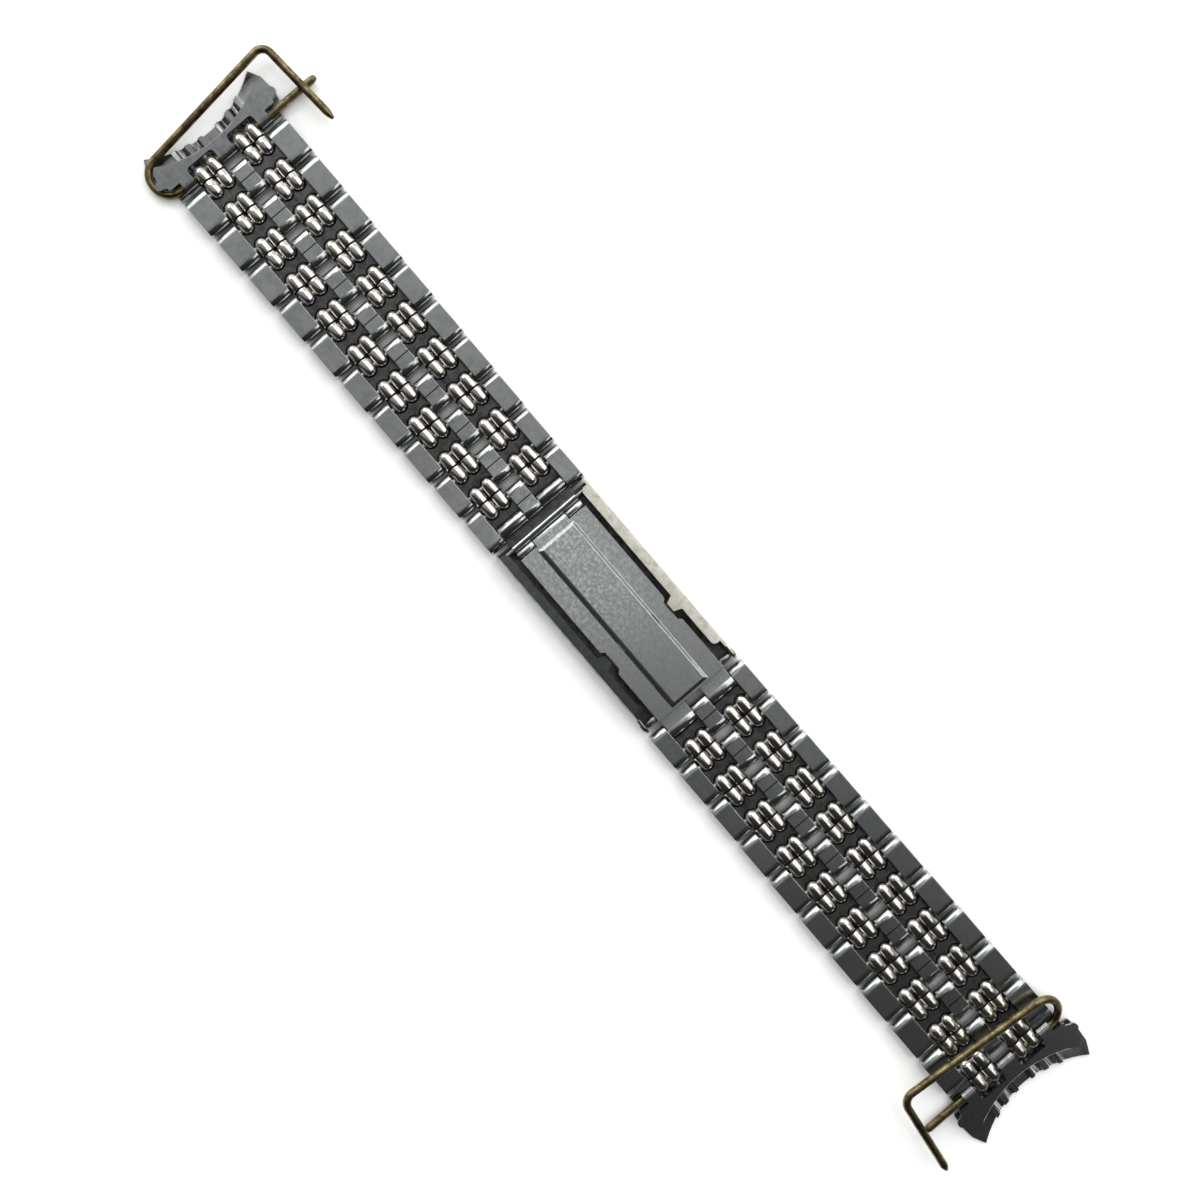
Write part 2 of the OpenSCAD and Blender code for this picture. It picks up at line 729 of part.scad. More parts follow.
// A wire through corner points, with a bend radius at each corner and two tapered tips
module wire(p, bends, tapers) {
    last = len(p) - 1;
    for (i = [1 : last]) {
        way = unit(p[i] - p[i - 1]);
        from = p[i - 1] + lead(p, bends, i - 1) * way;
        to = p[i] - lead(p, bends, i) * way;
        wire_run(from, to, i == 1 ? tapers[0] : 0, i == last ? tapers[1] : 0);
    }
    for (i = [1 : last - 1]) wire_bend(p, i, bends[i - 1]);
}

// Wire A runs through the knuckles, turns back under an ear and crosses over its own tip
module end_a_keeper_wire() {
    corner_y = -knuckle_half - 0.4 - wire_a_hairpin;
    cross_z = pin_z + wire_d + 0.1;
    bend_x = 2 * wire_a_hairpin + 1.9;
    color(old_brass) on_side("a", end_axis_x) wire(
        [
            [0, wire_a_tip, pin_z], [0, corner_y, pin_z],
            [2 * wire_a_hairpin + 0.1, corner_y, pin_z], [bend_x, wire_a_tip - 2.3, cross_z],
            [bend_x - wire_a_leg, wire_a_tip - 1.65, cross_z]
        ],
        [wire_a_hairpin, wire_a_hairpin, wire_a_bend], [0.6, 1.2]
    );
}

// Wire B hooks back over the band, stands off it and crosses over its own tip
module end_b_keeper_wire() {
    corner_y = knuckle_half + 0.1 + wire_b_hairpin;
    run_z = link_t + wire_b_lift + wire_r;
    rise = run_z - pin_z;
    back = sqrt(pow(2 * wire_b_hairpin + 0.1, 2) - pow(rise, 2));
    bend_x = -back - 1.9;
    color(old_brass) on_side("b", end_axis_x) wire(
        [
            [0, -wire_b_tip, pin_z], [0, corner_y, pin_z], [-back, corner_y, run_z],
            [bend_x, 0.6 - wire_b_tip, run_z + 0.5],
            [bend_x + wire_b_leg, -wire_b_tip - 0.9, run_z - 1.2]
        ],
        [wire_b_hairpin, wire_b_hairpin, wire_b_bend], [0.6, 0.8]
    );
}

clasp_cover();
cover_hinge_pin();
adjuster_spring_bar();
adjuster_link();
middle_blade();
blade_hinge_pin();
inner_blade();
for (s = ["a", "b"]) for (i = [1:rows_per_side]) {
    flat_row(s, i);
    bead_row(s, i);
}
end_back_plate("a");  // end_a_back_plate
end_front_shell("a");  // end_a_front_shell
end_a_keeper_wire();
end_back_plate("b");  // end_b_back_plate
end_front_shell("b");  // end_b_front_shell
end_b_keeper_wire();
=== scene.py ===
import json
import math
import random

import bmesh
import bpy
from mathutils import Matrix, Vector


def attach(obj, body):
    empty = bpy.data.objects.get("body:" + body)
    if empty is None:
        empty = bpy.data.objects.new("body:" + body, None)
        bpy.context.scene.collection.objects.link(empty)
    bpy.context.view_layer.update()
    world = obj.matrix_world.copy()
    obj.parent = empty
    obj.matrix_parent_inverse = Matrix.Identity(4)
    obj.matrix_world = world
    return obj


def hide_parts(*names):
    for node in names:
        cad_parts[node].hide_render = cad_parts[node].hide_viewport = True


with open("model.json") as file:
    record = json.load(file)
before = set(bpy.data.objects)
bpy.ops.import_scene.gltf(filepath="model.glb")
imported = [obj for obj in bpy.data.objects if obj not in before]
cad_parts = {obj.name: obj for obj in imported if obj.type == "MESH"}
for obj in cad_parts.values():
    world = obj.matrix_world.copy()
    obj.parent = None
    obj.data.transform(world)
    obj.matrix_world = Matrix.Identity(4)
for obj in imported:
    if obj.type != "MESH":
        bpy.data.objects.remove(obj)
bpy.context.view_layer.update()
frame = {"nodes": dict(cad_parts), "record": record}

# Looks of the beads of rice bracelet. X runs along the band, +Z faces the wrist and the camera.
# Lengths in the settings are millimetres, and mm turns them into Blender's metres.
mm = 0.001
chance = random.Random(26)

# The band's own sizes, the same numbers as in the part's source
band = {
    "rows": 10,
    "pitch": 2.72,           # pin to pin
    "firstPin": 15.05,       # pin in the clasp's lugs
    "thickness": 1.8,
    "pinZ": 0.9,
    "beadRadius": 0.89,
    "beadFrom": 1.19,        # inner side of a bead column
    "beadTo": 4.78,
    "beadGap": 0.03,
    "edgeFrom": 4.9,         # inner side of an edge link
    "edgeWidthClasp": 2.1,
    "edgeWidthEnd": 2.8,
    "centreWidth": 2.14,
    "endAxis": 69.45,
}


def beadY(n):
    return band["beadFrom"] + band["beadRadius"] + n * (2 * band["beadRadius"] + band["beadGap"])


def edgeWidth(row):
    grow = band["edgeWidthEnd"] - band["edgeWidthClasp"]
    return band["edgeWidthClasp"] + grow * (row - 1) / (band["rows"] - 1)


# camera, where the photo was taken from: straight above the clasp, the band running down-right
view = {
    "turn": 49.4,            # degrees that the band runs below the horizontal
    "height": 165.6,
    "clasp": (1.93, -0.82),  # the clasp's middle in the picture, right and up of its centre
    "lens": 42.6,
}


def makeCamera():
    turn = math.radians(view["turn"])
    right = Vector((math.cos(turn), math.sin(turn), 0))
    up = Vector((-math.sin(turn), math.cos(turn), 0))
    place = -(view["clasp"][0] * right + view["clasp"][1] * up)
    place.z = view["height"]
    data = bpy.data.cameras.new("camera")
    data.lens = view["lens"]
    data.sensor_width = 36
    data.clip_start = 0.005
    data.clip_end = 10
    camera = bpy.data.objects.new("camera", data)
    bpy.context.scene.collection.objects.link(camera)
    camera.location = place * mm
    camera.rotation_euler = (0, 0, turn)
    bpy.context.scene.camera = camera
    return right, up


pictureRight, pictureUp = makeCamera()
print("camera ready")


# materials

def hexColour(text):
    # sRGB hex to the linear values that Blender's sockets take
    parts = [int(text[k:k + 2], 16) / 255 for k in (1, 3, 5)]
    return tuple(p / 12.92 if p <= 0.04045 else ((p + 0.055) / 1.055) ** 2.4 for p in parts) + (1,)


def addNode(tree, kind, settings=None, inputs=None, links=None):
    # inputs are fixed values by socket name, links are other nodes' outputs by socket name
    node = tree.nodes.new(kind)
    for key, value in (settings or {}).items():
        setattr(node, key, value)
    for key, value in (inputs or {}).items():
        node.inputs[key].default_value = value
    for key, output in (links or {}).items():
        tree.links.new(output, node.inputs[key])
    return node


def newMaterial(name):
    material = bpy.data.materials.new(name)
    material.use_nodes = True
    material.node_tree.nodes.clear()
    return material, material.node_tree


def finishMaterial(tree, shader):
    out = addNode(tree, "ShaderNodeOutputMaterial")
    tree.links.new(shader.outputs["BSDF"], out.inputs["Surface"])


def rampNode(tree, factor, stops):
    ramp = addNode(tree, "ShaderNodeValToRGB", links={"Fac": factor})
    while len(ramp.color_ramp.elements) < len(stops):
        ramp.color_ramp.elements.new(0.5)
    for element, (place, colour) in zip(ramp.color_ramp.elements, stops):
        element.position = place
        element.color = colour
    return ramp


steel = {
    # clean colour, stained colour, lowest and highest roughness, scratch depth in mm,
    # size of the stains in mm, turn of the scratches in degrees
    "satinSteel": ("#bcbebc", "#a3a7a7", 0.15, 0.23, 0.005, 1.3, 8),
    "polishedSteel": ("#d8d5ce", "#c2beb7", 0.1, 0.17, 0.0015, 0.9, 4),
    "bladeSteel": ("#cacbc6", "#adb4b6", 0.14, 0.3, 0.006, 0.4, 20),
    "plateSteel": ("#a8aaa8", "#7d8183", 0.15, 0.28, 0.006, 0.9, 30),
    "coverSteel": ("#cecbc0", "#a9a69b", 0.12, 0.22, 0.004, 1.0, 5),
    "shellSteel": ("#a2a3a1", "#7f8181", 0.18, 0.32, 0.010, 1.2, 60),
    # a darker steel for the clasp cover's -Y side
    "darkSideSteel": ("#9c9fa0", "#74787a", 0.16, 0.28, 0.006, 1.0, 20),
    # painted shade: a darker, rougher copy of the steel for recesses and insides that lie in shade
    "paintedShadeSteel": ("#5c5b5b", "#3c3b3d", 0.32, 0.5, 0.012, 0.8, 35),
    "pinSteel": ("#9a9a97", "#6e6c68", 0.25, 0.4, 0.008, 0.5, 0),
}


def steelMaterial(name):
    # Rolled stainless steel sheet, worn on the wrist: fine scratches along the band, dull stains
    clean, stained, smooth, rough, depth, stain, turn = steel[name]
    material, tree = newMaterial(name)
    coords = addNode(tree, "ShaderNodeTexCoord")
    stains = addNode(tree, "ShaderNodeTexNoise", {"normalize": True},
                     {"Scale": 1 / (stain * mm), "Detail": 5, "Roughness": 0.62},
                     {"Vector": coords.outputs["Object"]})
    colour = rampNode(tree, stains.outputs["Fac"],
                      [(0.34, hexColour(stained)), (0.6, hexColour(clean))])
    # scratches: noise drawn out 14 times along the band, one about every 0.12 mm
    stretch = addNode(tree, "ShaderNodeMapping", None,
                      {"Rotation": (0, 0, math.radians(turn)), "Scale": (1 / 14, 1, 1)},
                      {"Vector": coords.outputs["Object"]})
    scratches = addNode(tree, "ShaderNodeTexNoise", {"normalize": True},
                        {"Scale": 1 / (0.12 * mm), "Detail": 3, "Roughness": 0.7},
                        {"Vector": stretch.outputs["Vector"]})
    both = addNode(tree, "ShaderNodeMath", {"operation": "MULTIPLY_ADD"}, {1: 0.45},
                   {0: scratches.outputs["Fac"], 2: stains.outputs["Fac"]})
    gloss = addNode(tree, "ShaderNodeMapRange", None,
                    {"From Min": 0.5, "From Max": 0.95, "To Min": rough, "To Max": smooth},
                    {"Value": both.outputs["Value"]})
    bump = addNode(tree, "ShaderNodeBump", None,
                   {"Strength": 0.35, "Distance": depth * mm},
                   {"Height": scratches.outputs["Fac"]})
    shader = addNode(tree, "ShaderNodeBsdfPrincipled", None, {"Metallic": 1.0},
                     {"Base Color": colour.outputs["Color"], "Roughness": gloss.outputs["Result"],
                      "Normal": bump.outputs["Normal"]})
    finishMaterial(tree, shader)
    return material


def seamMaterial():
    # Skin oil and dust packed into the fold seams: nearly black, no gloss
    material, tree = newMaterial("packedGrime")
    coords = addNode(tree, "ShaderNodeTexCoord")
    lumps = addNode(tree, "ShaderNodeTexNoise", None, {"Scale": 1 / (0.15 * mm), "Detail": 3},
                    {"Vector": coords.outputs["Object"]})
    colour = rampNode(tree, lumps.outputs["Fac"],
                      [(0.35, hexColour("#070606")), (0.7, hexColour("#161513"))])
    shader = addNode(tree, "ShaderNodeBsdfPrincipled", None,
                     {"Metallic": 0.0, "Roughness": 0.8},
                     {"Base Color": colour.outputs["Color"]})
    finishMaterial(tree, shader)
    return material


def brassMaterial():
    # Drawn brass wire gone olive brown, rubbed brighter in places
    material, tree = newMaterial("tarnishedBrass")
    coords = addNode(tree, "ShaderNodeTexCoord")
    tarnish = addNode(tree, "ShaderNodeTexNoise", None,
                      {"Scale": 1 / (1.3 * mm), "Detail": 6, "Roughness": 0.65},
                      {"Vector": coords.outputs["Object"]})
    specks = addNode(tree, "ShaderNodeTexNoise", None,
                     {"Scale": 1 / (0.22 * mm), "Detail": 2},
                     {"Vector": coords.outputs["Object"]})
    both = addNode(tree, "ShaderNodeMath", {"operation": "MULTIPLY_ADD"}, {1: 0.3},
                   {0: specks.outputs["Fac"], 2: tarnish.outputs["Fac"]})
    colour = rampNode(tree, both.outputs["Value"],
                      [(0.45, hexColour("#413a2b")), (0.62, hexColour("#6a5e43")),
                       (0.82, hexColour("#968a66"))])
    gloss = addNode(tree, "ShaderNodeMapRange", None,
                    {"From Min": 0.45, "From Max": 0.85, "To Min": 0.42, "To Max": 0.26},
                    {"Value": both.outputs["Value"]})
    bump = addNode(tree, "ShaderNodeBump", None, {"Strength": 0.4, "Distance": 0.02 * mm},
                   {"Height": specks.outputs["Fac"]})
    shader = addNode(tree, "ShaderNodeBsdfPrincipled", None, {"Metallic": 1.0},
                     {"Base Color": colour.outputs["Color"], "Roughness": gloss.outputs["Result"],
                      "Normal": bump.outputs["Normal"]})
    finishMaterial(tree, shader)
    return material


finish = {name: steelMaterial(name) for name in steel}
finish["packedGrime"] = seamMaterial()
finish["tarnishedBrass"] = brassMaterial()
for cadNode in frame["nodes"].values():
    cadNode.data.materials.clear()
    cadNode.data.materials.append(finish["satinSteel"])
print("materials ready")


# working in edit mode

def deselectAll():
    if bpy.context.object and bpy.context.object.mode != "OBJECT":
        bpy.ops.object.mode_set(mode="OBJECT")
    bpy.ops.object.select_all(action="DESELECT")


def activate(piece):
    deselectAll()
    piece.select_set(True)
    bpy.context.view_layer.objects.active = piece


def startEdit(piece):
    activate(piece)
    bpy.ops.object.mode_set(mode="EDIT")
    bpy.ops.mesh.select_all(action="DESELECT")


def endEdit():
    bpy.ops.object.mode_set(mode="OBJECT")


def pick(piece, kind, test):
    # selects the mesh's verts, edges or faces that pass the test, and nothing else
    bpy.ops.mesh.select_mode(type={"verts": "VERT", "edges": "EDGE", "faces": "FACE"}[kind])
    bpy.ops.mesh.select_all(action="DESELECT")
    mesh = bmesh.from_edit_mesh(piece.data)
    chosen = [item for item in getattr(mesh, kind) if test(item)]
    for item in chosen:
        item.select_set(True)
    mesh.select_flush_mode()
    bmesh.update_edit_mesh(piece.data)


def middle(edge):
    return (edge.verts[0].co + edge.verts[1].co) / 2


def isSharp(edge, degrees=35):
    return len(edge.link_faces) == 2 and edge.calc_face_angle(0) > math.radians(degrees)


def paint(piece, *names):
    piece.data.materials.clear()
    for name in names:
        piece.data.materials.append(finish[name])


def paintFaces(piece, test, slot=1):
    # the faces that pass the test get another of the piece's materials
    mesh = bmesh.from_edit_mesh(piece.data)
    for face in mesh.faces:
        if test(face, face.calc_center_median() / mm):
            face.material_index = slot
    bmesh.update_edit_mesh(piece.data)


def applyModifier(piece, kind, **settings):
    activate(piece)
    modifier = piece.modifiers.new(kind.lower(), kind)
    for key, value in settings.items():
        setattr(modifier, key, value)
    bpy.ops.object.modifier_apply(modifier=modifier.name)


def cutAway(piece, cutter):
    applyModifier(piece, "BOOLEAN", operation="DIFFERENCE", solver="EXACT", object=cutter)
    bpy.data.objects.remove(cutter)


def crossCylinder(x, radius, length, around=28, y=0, z=band["pinZ"]):
    deselectAll()
    bpy.ops.mesh.primitive_cylinder_add(vertices=around, radius=radius * mm, depth=length * mm,
                                        location=(x * mm, y * mm, z * mm),
                                        rotation=(math.pi / 2, 0, 0))
    piece = bpy.context.object
    bpy.ops.object.transform_apply()
    return piece


def copyTo(piece, name, x, y=0, half=False):
    # a copy with its own mesh, moved along the band, and turned half round for side A
    twin = piece.copy()
    twin.data = piece.data.copy()
    twin.name = name
    bpy.context.scene.collection.objects.link(twin)
    move = Matrix.Translation((x * mm, y * mm, 0))
    if half:
        move = move @ Matrix.Rotation(math.pi, 4, "Z")
    twin.data.transform(move)
    return twin


def joinPieces(pieces, name):
    deselectAll()
    for piece in pieces:
        piece.select_set(True)
    joined = pieces[0]
    bpy.context.view_layer.objects.active = joined
    bpy.ops.object.join()
    joined.name = name
    joined.data.name = name
    return joined


def smooth(piece, degrees=32):
    # large faces keep their own normals, so that flats stay flat beside their rounded edges
    activate(piece)
    bpy.ops.object.shade_smooth_by_angle(angle=math.radians(degrees))
    applyModifier(piece, "WEIGHTED_NORMAL", mode="FACE_AREA", weight=80, keep_sharp=True)


def setOff(piece, body, node):
    # the piece stands for its CAD node and moves with that node's body
    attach(piece, body)
    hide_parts(node)


# rice beads: sheet steel folded round the two cross pins, meeting in a seam on the wrist side
riceBead = {
    "around": 40,
    "endSteps": 7,
    "endShare": 0.97,        # of the radius, which leaves a small flat on the round end
    "seamWidth": 0.23,
    "seamDepth": 0.22,
    "seamLip": 0.02,         # rounding of the seam's two lips
    "seamDrift": 0.07,       # the seam is never quite in the middle
    "bore": 0.45,
    "barBore": 0.525,        # in the row that turns on the end piece's bar
    "boreLength": 4,
    "variants": 4,
}


def makeRiceBead(drift, outerBore):
    radius = band["beadRadius"]
    length = band["pitch"] + 2 * radius
    deselectAll()
    bpy.ops.mesh.primitive_cylinder_add(vertices=riceBead["around"], radius=radius * mm,
                                        depth=length * mm, location=(0, 0, 0),
                                        rotation=(0, math.pi / 2, 0))
    bead = bpy.context.object
    bpy.ops.object.transform_apply()
    paint(bead, "polishedSteel", "packedGrime")
    startEdit(bead)
    pick(bead, "edges", lambda e: abs(middle(e).x) > (length / 2 - 0.01) * mm)
    bpy.ops.mesh.bevel(offset=radius * riceBead["endShare"] * mm, segments=riceBead["endSteps"],
                       profile=0.5, affect="EDGES", clamp_overlap=False)
    half = riceBead["seamWidth"] / 2
    for x in (drift - half, drift + half):
        bpy.ops.mesh.select_all(action="SELECT")
        bpy.ops.mesh.bisect(plane_co=(x * mm, 0, 0), plane_no=(1, 0, 0))
    pick(bead, "faces", lambda f: abs(f.calc_center_median().x - drift * mm) < half * mm
         and f.normal.z > -0.25)
    bpy.ops.mesh.extrude_region_shrink_fatten(
        TRANSFORM_OT_shrink_fatten={"value": -riceBead["seamDepth"] * mm})
    pick(bead, "faces", lambda f: abs(f.calc_center_median().x - drift * mm) < (half + 0.001) * mm
         and f.calc_center_median().yz.length < (radius - 0.02) * mm)
    paintFaces(bead, lambda face, at: face.select)
    pick(bead, "edges", lambda e: isSharp(e, 50)
         and abs(abs(middle(e).x - drift * mm) - half * mm) < 0.002 * mm
         and middle(e).yz.length > (radius - 0.04) * mm)
    bpy.ops.mesh.bevel(offset=riceBead["seamLip"] * mm, segments=2, affect="EDGES")
    endEdit()
    bead.data.transform(Matrix.Translation((0, 0, band["pinZ"] * mm)))
    cutAway(bead, crossCylinder(-band["pitch"] / 2, riceBead["bore"], riceBead["boreLength"]))
    cutAway(bead, crossCylinder(band["pitch"] / 2, outerBore, riceBead["boreLength"]))
    return bead


beadKinds = []
lastKinds = []
for k in range(riceBead["variants"]):
    drift = riceBead["seamDrift"] * (2 * k / (riceBead["variants"] - 1) - 1)
    beadKinds.append(makeRiceBead(drift, riceBead["bore"]))
    lastKinds.append(makeRiceBead(drift, riceBead["barBore"]))

for side in ("a", "b"):
    for row in range(1, band["rows"] + 1):
        x = band["firstPin"] + (2 * row - 0.5) * band["pitch"]
        kinds = lastKinds if row == band["rows"] else beadKinds
        beads = []
        for y in (-beadY(1), -beadY(0), beadY(0), beadY(1)):
            beads.append(copyTo(chance.choice(kinds), "bead", -x if side == "a" else x, y,
                                side == "a"))
        piece = joinPieces(beads, f"riceBeads{side.upper()}{row:02d}")
        smooth(piece, 40)
        setOff(piece, f"{side}_bead_{row:02d}", f"side_{side}_bead_row_{row:02d}")
for kind in beadKinds + lastKinds:
    bpy.data.objects.remove(kind)
print("rice beads ready")


# flat rows: two edge links, a centre link, two bridge plates and two cross pins
flatLink = {
    "edgeReach": 0.29,       # the edge links' rolled ends reach past the beads
    "rollSteps": 10,
    "rollShare": 0.998,      # of half the thickness, so that the two rolls of an end don't meet
    "weld": 0.03,
    "softEdge": 0.055,       # tumbled edges of the sheet
    "softCentre": 0.03,
    "pressIn": 0.055,        # the wrist side's flat is pressed a hair proud of the rolls
    "pressUp": 0.03,
    "sheet": 0.26,           # sheet thickness seen at the open outer side
    "opening": 0.32,         # depth of that opening
    "seamWidth": 0.13,
    "seamDepth": 0.2,
    "tilt": 0.65,            # degrees that a link's wrist side lies off level, at most
}
bridge = {
    "thick": 0.5,
    "gap": 0.09,             # left round the bead ends
    "tongues": 0.24,         # wider than the bead column by this, to enter the links beside it
    "scallopSteps": 40,
    "cutDepth": 2,
    "soft": 0.05,
}
crossPin = {"radius": 0.4, "recess": 0.12, "soft": 0.07}


def makeLinkBlank(reach, width, y):
    # a bar with both ends rolled: four long edges rounded by half the thickness
    length = band["pitch"] + 2 * reach + band["thickness"]
    deselectAll()
    bpy.ops.mesh.primitive_cube_add(size=1, location=(0, y * mm, band["pinZ"] * mm),
                                    scale=(length * mm, width * mm, band["thickness"] * mm))
    link = bpy.context.object
    bpy.ops.object.transform_apply()
    startEdit(link)
    pick(link, "edges", lambda e: abs(middle(e).x) > (length / 2 - 0.01) * mm
         and abs(e.verts[0].co.y - e.verts[1].co.y) > width / 2 * mm)
    bpy.ops.mesh.bevel(offset=band["thickness"] / 2 * flatLink["rollShare"] * mm,
                       segments=flatLink["rollSteps"], profile=0.5, affect="EDGES",
                       clamp_overlap=False)
    bpy.ops.mesh.select_all(action="SELECT")
    bpy.ops.mesh.remove_doubles(threshold=flatLink["weld"] * mm)
    return link


def pressFlat(piece):
    pick(piece, "faces", lambda f: f.normal.z > 0.999
         and f.calc_center_median().z > (band["thickness"] - 0.01) * mm)
    bpy.ops.mesh.inset(thickness=flatLink["pressIn"] * mm)
    bpy.ops.transform.translate(value=(0, 0, flatLink["pressUp"] * mm))


def softenSharpEdges(piece, width, steps=2, degrees=35):
    pick(piece, "edges", lambda e: isSharp(e, degrees))
    bpy.ops.mesh.bevel(offset=width * mm, segments=steps, profile=0.5, affect="EDGES",
                       clamp_overlap=True)


def makeEdgeLink():
    width = band["edgeWidthClasp"]
    outer = band["edgeFrom"] + width
    link = makeLinkBlank(flatLink["edgeReach"], width, band["edgeFrom"] + width / 2)
    paint(link, "satinSteel", "paintedShadeSteel")
    pressFlat(link)
    pick(link, "faces", lambda f: f.normal.y > 0.9)
    bpy.ops.mesh.inset(thickness=flatLink["sheet"] * mm)
    bpy.ops.mesh.extrude_region_move(
        TRANSFORM_OT_translate={"value": (0, -flatLink["opening"] * mm, 0)})
    # painted shade: the inside of the link's open outer side gets the darker steel
    paintFaces(link, lambda face, at: face.select)

    def onSide(e):
        return not (band["edgeFrom"] + 0.01) * mm <= middle(e).y <= (outer - 0.01) * mm
    pick(link, "edges", lambda e: isSharp(e, 50) and onSide(e))
    bpy.ops.mesh.bevel(offset=flatLink["softEdge"] * mm, segments=2, profile=0.5, affect="EDGES",
                       clamp_overlap=True)
    endEdit()
    return link


def widened(link, extra):
    # the same link, made wider on its outer side for the rows nearer the end piece
    startEdit(link)
    pick(link, "verts", lambda v: abs(v.co.y) > (band["edgeFrom"] + 0.5) * mm)
    bpy.ops.transform.translate(value=(0, extra * mm, 0))
    endEdit()
    return link


def tilted(link):
    # its wrist side a little off level, so that each link mirrors another bit of light
    slope = math.tan(math.radians(chance.uniform(-flatLink["tilt"], flatLink["tilt"])))
    for vertex in link.data.vertices:
        if vertex.co.z > (band["thickness"] - 0.005) * mm:
            vertex.co.z += slope * vertex.co.x
    return link


def makeCentreLink():
    link = makeLinkBlank(0, band["centreWidth"], 0)
    paint(link, "satinSteel", "packedGrime")
    pressFlat(link)
    half = flatLink["seamWidth"] / 2
    for x in (-half, half):
        bpy.ops.mesh.select_all(action="SELECT")
        bpy.ops.mesh.bisect(plane_co=(x * mm, 0, 0), plane_no=(1, 0, 0))
    pick(link, "faces", lambda f: abs(f.calc_center_median().x) < half * mm and f.normal.z > 0.8)
    bpy.ops.mesh.extrude_region_move(
        TRANSFORM_OT_translate={"value": (0, 0, -flatLink["seamDepth"] * mm)})
    paintFaces(link, lambda face, at: abs(at.x) < half + 0.001 and abs(face.normal.y) < 0.9
               and band["pinZ"] < at.z < band["thickness"] - 0.01)
    pick(link, "edges", lambda e: isSharp(e, 50) and abs(middle(e).x) > (half + 0.01) * mm)
    bpy.ops.mesh.bevel(offset=flatLink["softCentre"] * mm, segments=2, profile=0.5,
                       affect="EDGES", clamp_overlap=True)
    endEdit()
    return link


def makeBridge(besideClasp):
    radius = band["beadRadius"]
    pitch = band["pitch"]
    horn = pitch / 2 - math.sqrt((radius + bridge["gap"]) ** 2 - radius ** 2)
    straight = pitch / 2 - radius - bridge["gap"]
    left = straight if besideClasp else horn
    width = band["beadTo"] - band["beadFrom"] + bridge["tongues"]
    deselectAll()
    bpy.ops.mesh.primitive_cube_add(
        size=1, location=((horn - left) / 2 * mm, (band["beadFrom"] + band["beadTo"]) / 2 * mm,
                          band["pinZ"] * mm),
        scale=((horn + left) * mm, width * mm, bridge["thick"] * mm))
    plate = bpy.context.object
    bpy.ops.object.transform_apply()
    for n in (0, 1):
        for x in ((1,) if besideClasp else (-1, 1)):
            deselectAll()
            bpy.ops.mesh.primitive_cylinder_add(
                vertices=bridge["scallopSteps"], radius=(radius + bridge["gap"]) * mm,
                depth=bridge["cutDepth"] * mm,
                location=(x * pitch / 2 * mm, beadY(n) * mm, band["pinZ"] * mm))
            cutter = bpy.context.object
            bpy.ops.object.transform_apply()
            cutAway(plate, cutter)
    # painted shade: the recessed bridge plates between the bead ends get the darker steel
    paint(plate, "paintedShadeSteel")
    startEdit(plate)
    softenSharpEdges(plate, bridge["soft"])
    endEdit()
    return plate


def makeCrossPin(x, width):
    half = band["edgeFrom"] + width - crossPin["recess"]
    pin = crossCylinder(x, crossPin["radius"], 2 * half, 24)
    paint(pin, "pinSteel")
    startEdit(pin)
    softenSharpEdges(pin, crossPin["soft"], 3, 50)
    endEdit()
    return pin


edgeKind = makeEdgeLink()
centreKind = makeCentreLink()
bridgeKind = makeBridge(False)
claspBridgeKind = makeBridge(True)


def mirroredPlate(plate):
    # the bridge plate of the other bead column
    twin = copyTo(plate, "bridge", 0)
    twin.data.transform(Matrix.Scale(-1, 4, (0, 1, 0)))
    twin.data.flip_normals()
    return twin


for side in ("a", "b"):
    for row in range(1, band["rows"] + 1):
        x = band["firstPin"] + (2 * row - 1.5) * band["pitch"]
        width = edgeWidth(row)
        extra = width - band["edgeWidthClasp"]
        plate = claspBridgeKind if row == 1 else bridgeKind
        parts = [
            tilted(widened(copyTo(edgeKind, "edge", 0), extra)),
            tilted(widened(copyTo(edgeKind, "edge", 0, 0, True), -extra)),
            tilted(copyTo(centreKind, "centre", 0)),
            copyTo(plate, "bridge", 0),
            mirroredPlate(plate),
            makeCrossPin(-band["pitch"] / 2, width),
            makeCrossPin(band["pitch"] / 2, width),
        ]
        piece = joinPieces(parts, f"flatRow{side.upper()}{row:02d}")
        place = Matrix.Translation(((-x if side == "a" else x) * mm, 0, 0))
        if side == "a":
            place = place @ Matrix.Rotation(math.pi, 4, "Z")
        piece.data.transform(place)
        smooth(piece, 33)
        setOff(piece, f"{side}_flat_{row:02d}", f"side_{side}_flat_row_{row:02d}")
for kind in (edgeKind, centreKind, bridgeKind, claspBridgeKind):
    bpy.data.objects.remove(kind)
print("flat rows ready")


# stamped and rolled parts: copies of the CAD shapes, welded and with their edges softened
def stampedCopy(node, name, materials, soft, shape):
    sharp = 34               # degrees between faces from which an edge counts as sharp
    source = frame["nodes"][node]
    piece = source.copy()
    piece.data = source.data.copy()
    for key in list(piece.keys()):
        del piece[key]
    piece.parent = None
    piece.name = name
    piece.data.name = name
    bpy.context.scene.collection.objects.link(piece)
    paint(piece, *materials)
    startEdit(piece)
    bpy.ops.mesh.select_all(action="SELECT")
    bpy.ops.mesh.remove_doubles(threshold=0.0005 * mm)
    bpy.ops.mesh.dissolve_limited(angle_limit=math.radians(0.4))
    if shape:
        shape(piece)
    if soft:
        softenSharpEdges(piece, soft, degrees=sharp)
    endEdit()
    smooth(piece, sharp)
    return piece


